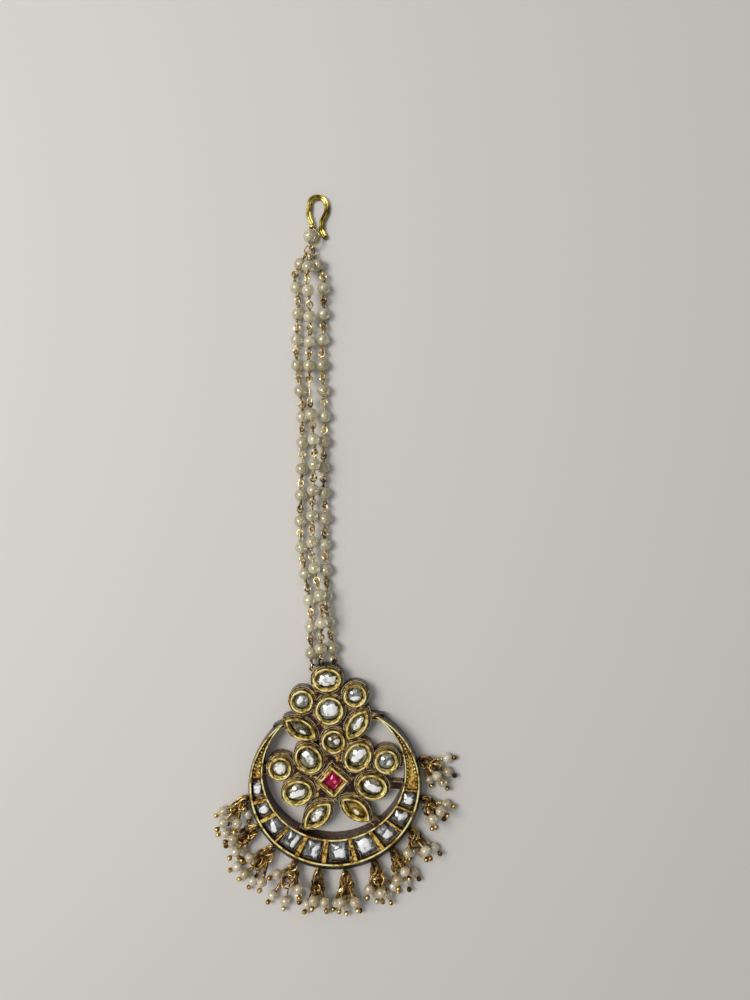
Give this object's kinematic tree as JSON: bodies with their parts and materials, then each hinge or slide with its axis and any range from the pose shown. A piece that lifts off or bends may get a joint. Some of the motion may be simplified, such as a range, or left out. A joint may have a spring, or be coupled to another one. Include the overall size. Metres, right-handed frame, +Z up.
{
  "type": "maang tikka",
  "caption": "Hair jewel with a crescent-and-flower stone pendant, a fringe of small pearl drops, three strings of linked pearls and a bent wire hair hook, lying flat.",
  "frame": {"origin": "on the surface, under the middle of the jewel's bounding box", "axes": "+Y from the pendant along the pearl strands to the hair hook, +Z up from the surface, through the stones' tables"},
  "size_m": [0.0568, 0.1686, 0.0065],
  "materials": {
    "gold": "antique gold plate, bright on the rims and dark in the recesses",
    "wire": "worn gold-brown wire, darkest at the roots of the fringe",
    "pearl": "smooth ivory pearl coat",
    "clear_stone": "cut and polished, with a silvery foil behind",
    "red_stone": "cut and polished, with a foil behind"
  },
  "bodies": {
    "root": {"centre_strand_pearls": "pearl", "centre_strand_pins": "wire", "crescent_stone_1": "clear_stone", "crescent_stone_10": "clear_stone", "crescent_stone_2": "clear_stone", "crescent_stone_3": "clear_stone", "crescent_stone_4": "clear_stone", "crescent_stone_5": "clear_stone", "crescent_stone_6": "clear_stone", "crescent_stone_7": "clear_stone", "crescent_stone_8": "clear_stone", "crescent_stone_9": "clear_stone", "crown_stone": "clear_stone", "fringe_10_pearls": "pearl", "fringe_10_pins": "wire", "fringe_11_pearls": "pearl", "fringe_11_pins": "wire", "fringe_1_pearls": "pearl", "fringe_1_pins": "wire", "fringe_2_pearls": "pearl", "fringe_2_pins": "wire", "fringe_3_pearls": "pearl", "fringe_3_pins": "wire", "fringe_4_pearls": "pearl", "fringe_4_pins": "wire", "fringe_5_pearls": "pearl", "fringe_5_pins": "wire", "fringe_6_pearls": "pearl", "fringe_6_pins": "wire", "fringe_7_pearls": "pearl", "fringe_7_pins": "wire", "fringe_8_pearls": "pearl", "fringe_8_pins": "wire", "fringe_9_pearls": "pearl", "fringe_9_pins": "wire", "gather_ring": "wire", "heart_stone": "clear_stone", "hook": "gold", "left_lower_leaf_stone": "clear_stone", "left_lower_petal_stone": "clear_stone", "left_shoulder_stone": "clear_stone", "left_side_stone": "clear_stone", "left_strand_pearls": "pearl", "left_strand_pins": "wire", "left_upper_leaf_stone": "clear_stone", "left_upper_petal_stone": "clear_stone", "middle_stone": "clear_stone", "pendant_frame": "gold", "red_stone": "red_stone", "right_lower_leaf_stone": "clear_stone", "right_lower_petal_stone": "clear_stone", "right_shoulder_stone": "clear_stone", "right_side_stone": "clear_stone", "right_strand_pearls": "pearl", "right_strand_pins": "wire", "right_upper_leaf_stone": "clear_stone", "right_upper_petal_stone": "clear_stone", "top_pearl": "pearl", "top_pearl_pin": "wire"}
  },
  "joints": []
}
